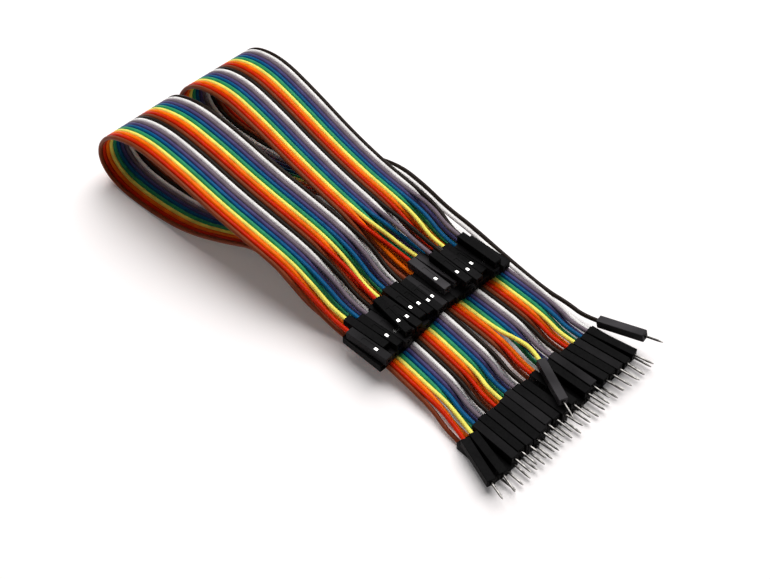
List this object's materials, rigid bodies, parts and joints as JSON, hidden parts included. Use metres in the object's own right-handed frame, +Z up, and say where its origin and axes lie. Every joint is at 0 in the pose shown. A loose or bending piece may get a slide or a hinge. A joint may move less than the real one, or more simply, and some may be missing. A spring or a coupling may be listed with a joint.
{
  "type": "folded jumper wire ribbon",
  "caption": "Flat rainbow ribbon of bonded jumper wires, peeled into two strips and folded over once, with socket housings at one end and pin housings at the other.",
  "frame": {"origin": "on the table under the middle of the folded ribbon, at the centre of its bounding box's base", "axes": "+X along the ribbon from the fold to the pins, +Y across it from the brown edge wire to the black one, +Z up from the table it lies on"},
  "size_m": [0.1608, 0.0636, 0.0242],
  "materials": {
    "wire_insulation": "soft PVC insulation, a rainbow of ten colours repeated across the ribbon",
    "housing_plastic": "black moulded nylon, satin",
    "tinned_contact": "bright tin plating over stamped metal",
    "insulation_brown": "soft glossy PVC insulation, brown",
    "insulation_red": "soft glossy PVC insulation, red",
    "insulation_orange": "soft glossy PVC insulation, orange",
    "insulation_yellow": "soft glossy PVC insulation, yellow",
    "insulation_green": "soft glossy PVC insulation, green",
    "insulation_blue": "soft glossy PVC insulation, blue",
    "insulation_violet": "soft glossy PVC insulation, violet",
    "insulation_grey": "soft glossy PVC insulation, grey",
    "insulation_white": "soft glossy PVC insulation, white",
    "insulation_black": "soft glossy PVC insulation, black"
  },
  "bodies": {
    "root": {"front_strip": "wire_insulation", "back_strip": "wire_insulation", "socket_housings_01_10": "housing_plastic", "socket_contacts_01_10": "tinned_contact", "pin_housings_01_10": "housing_plastic", "pin_contacts_01_10": "tinned_contact", "socket_housings_11_20": "housing_plastic", "socket_contacts_11_20": "tinned_contact", "pin_housings_11_20": "housing_plastic", "pin_contacts_11_20": "tinned_contact", "socket_housings_21_30": "housing_plastic", "socket_contacts_21_30": "tinned_contact", "pin_housings_21_30": "housing_plastic", "pin_contacts_21_30": "tinned_contact", "socket_housings_31_40": "housing_plastic", "socket_contacts_31_40": "tinned_contact", "pin_housings_31_40": "housing_plastic", "pin_contacts_31_40": "tinned_contact"}
  },
  "joints": []
}
